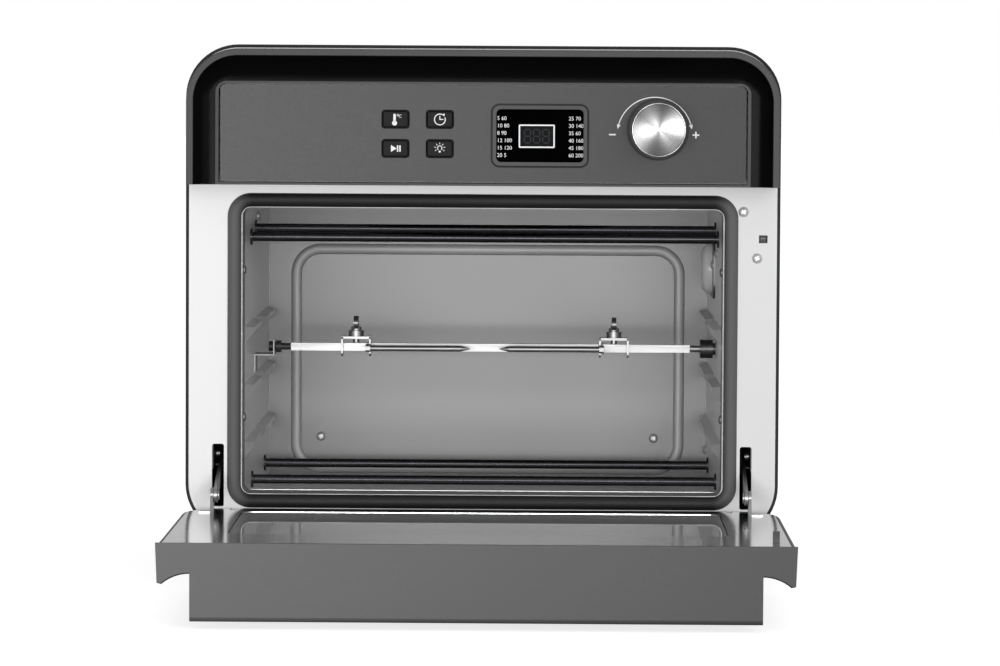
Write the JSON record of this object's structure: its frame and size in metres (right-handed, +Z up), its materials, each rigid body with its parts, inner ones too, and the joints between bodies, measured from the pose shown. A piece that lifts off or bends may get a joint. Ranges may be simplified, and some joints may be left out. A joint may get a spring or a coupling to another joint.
{
  "type": "oven-type air fryer",
  "caption": "Countertop air-fryer oven with a drop-down glass door, rotisserie spit, heating rods, push buttons and control knob.",
  "frame": {"origin": "on the table, under the middle of the bounding box with the door open", "axes": "+X to the viewer's right, +Y from the door to the back, +Z up"},
  "size_m": [0.378, 0.552, 0.3455],
  "materials": {
    "black_paint": "black enamel",
    "pale_frame": "pale matte coating",
    "grey_metal": "grey satin paint",
    "grey_metal_door": "grey satin mouldings",
    "black_gloss": "glossy black",
    "black_satin": "black satin",
    "panel_steel": "dark brushed",
    "display_black": "dark window",
    "board": "board green",
    "spun_aluminium": "spun",
    "bright_liner": "bright zinc-coated",
    "liner_steel": "satin",
    "motor_steel": "plain",
    "fan_aluminium": "plain",
    "heater_steel": "dark heat-treated",
    "lamp_glass": "frosted",
    "lamp_glass_clear": "clear bulb in its holder",
    "spit_chrome": "polished",
    "seal_rubber": "silicone",
    "foot_rubber": "black",
    "door_glass_dark": "dark tinted",
    "door_glass_clear": "reflecting",
    "door_steel": "satin"
  },
  "bodies": {
    "oven": {"arm_guides": "bright_liner", "base_pan": "black_paint", "cavity_ceiling": "liner_steel", "cavity_collar": "bright_liner", "cavity_floor": "liner_steel", "cavity_rear_wall": "liner_steel", "cavity_side_left": "liner_steel", "cavity_side_right": "liner_steel", "control_board": "board", "control_panel": "panel_steel", "cord_gland": "black_satin", "display_bezel": "black_gloss", "display_lens": "display_black", "door_gasket": "seal_rubber", "door_switch": "black_satin", "fan_guard": "liner_steel", "fan_housing": "liner_steel", "fan_motor": "motor_steel", "fascia_band": "black_gloss", "fascia_rim": "grey_metal", "feet": "foot_rubber", "front_frame": "pale_frame", "hinge_brackets": "bright_liner", "lamp_bezel": "bright_liner", "lamp_bulb": "lamp_glass_clear", "lamp_lens": "lamp_glass", "lower_heaters": "heater_steel", "outer_wrap": "black_paint", "rear_cover": "black_paint", "rivets": "spit_chrome", "rotisserie_motor": "motor_steel", "screws": "spit_chrome", "spit_bracket": "bright_liner", "upper_heaters": "heater_steel"},
    "door": {"door_frame": "grey_metal_door", "door_band": "black_gloss", "door_glass_outer": "door_glass_dark", "door_inner_panel": "door_steel", "door_glass_inner": "door_glass_clear", "door_cap": "grey_metal_door", "hinge_pins": "spit_chrome", "arm_brackets": "bright_liner", "switch_peg": "black_satin"},
    "arm_left": {"hinge_arm_left": "bright_liner"},
    "arm_right": {"hinge_arm_right": "bright_liner"},
    "knob": {"knob_skirt": "black_satin", "knob_cap": "spun_aluminium"},
    "fan": {"fan_wheel": "fan_aluminium"},
    "spit": {"spit_rod": "spit_chrome", "spit_bushing": "black_satin", "drive_socket": "black_satin"},
    "left_fork": {"fork_left": "spit_chrome"},
    "right_fork": {"fork_right": "spit_chrome"},
    "left_screw": {"thumb_screw_left": "spit_chrome"},
    "right_screw": {"thumb_screw_right": "spit_chrome"},
    "plunger": {"switch_plunger": "black_satin"},
    "temperature_key": {"button_temperature": "black_satin"},
    "time_key": {"button_time": "black_satin"},
    "start_key": {"button_start": "black_satin"},
    "light_key": {"button_light": "black_satin"}
  },
  "joints": [
    {"name": "door_hinge", "type": "hinge", "parent": "oven", "child": "door", "pos_m": [0, -0.063, 0.0432], "axis": [-1, 0, 0], "range_deg": [0, 90]},
    {"name": "left_arm_pivot", "type": "hinge", "parent": "door", "child": "arm_left", "pos_m": [-0.1672, -0.08, 0.0618], "axis": [-1, 0, 0], "range_deg": [-90, 0]},
    {"name": "right_arm_pivot", "type": "hinge", "parent": "door", "child": "arm_right", "pos_m": [0.1672, -0.08, 0.0618], "axis": [-1, 0, 0], "range_deg": [-90, 0]},
    {"name": "temperature_press", "type": "slide", "parent": "oven", "child": "temperature_key", "axis": [0, 1, 0], "range_m": [0, 0.0012], "stiffness_N_per_m": 400},
    {"name": "time_press", "type": "slide", "parent": "oven", "child": "time_key", "axis": [0, 1, 0], "range_m": [0, 0.0012], "stiffness_N_per_m": 400},
    {"name": "start_press", "type": "slide", "parent": "oven", "child": "start_key", "axis": [0, 1, 0], "range_m": [0, 0.0012], "stiffness_N_per_m": 400},
    {"name": "light_press", "type": "slide", "parent": "oven", "child": "light_key", "axis": [0, 1, 0], "range_m": [0, 0.0012], "stiffness_N_per_m": 400},
    {"name": "knob_turn", "type": "hinge", "parent": "oven", "child": "knob", "pos_m": [0.11, -0.0715, 0.2934], "axis": [0, -1, 0], "continuous": true},
    {"name": "fan_spin", "type": "hinge", "parent": "oven", "child": "fan", "pos_m": [0, 0.098, 0.262], "axis": [0, 0, 1], "continuous": true},
    {"name": "spit_turn", "type": "hinge", "parent": "oven", "child": "spit", "pos_m": [0, 0.093, 0.1455], "axis": [1, 0, 0], "continuous": true},
    {"name": "left_fork_slide", "type": "slide", "parent": "spit", "child": "left_fork", "axis": [1, 0, 0], "range_m": [-0.03, 0.005]},
    {"name": "left_screw_turn", "type": "hinge", "parent": "left_fork", "child": "left_screw", "pos_m": [-0.0859, 0.093, 0.1555], "axis": [0, 0, 1], "range_deg": [-180, 180]},
    {"name": "right_fork_slide", "type": "slide", "parent": "spit", "child": "right_fork", "axis": [-1, 0, 0], "range_m": [-0.03, 0.005]},
    {"name": "right_screw_turn", "type": "hinge", "parent": "right_fork", "child": "right_screw", "pos_m": [0.0859, 0.093, 0.1555], "axis": [0, 0, 1], "range_deg": [-180, 180]},
    {"name": "switch_press", "type": "slide", "parent": "oven", "child": "plunger", "axis": [0, 1, 0], "range_m": [0, 0.0025], "stiffness_N_per_m": 250}
  ],
  "couplings": [
    {"joint": "left_arm_pivot", "follows": "door_hinge", "ratio": -1},
    {"joint": "right_arm_pivot", "follows": "door_hinge", "ratio": -1}
  ]
}
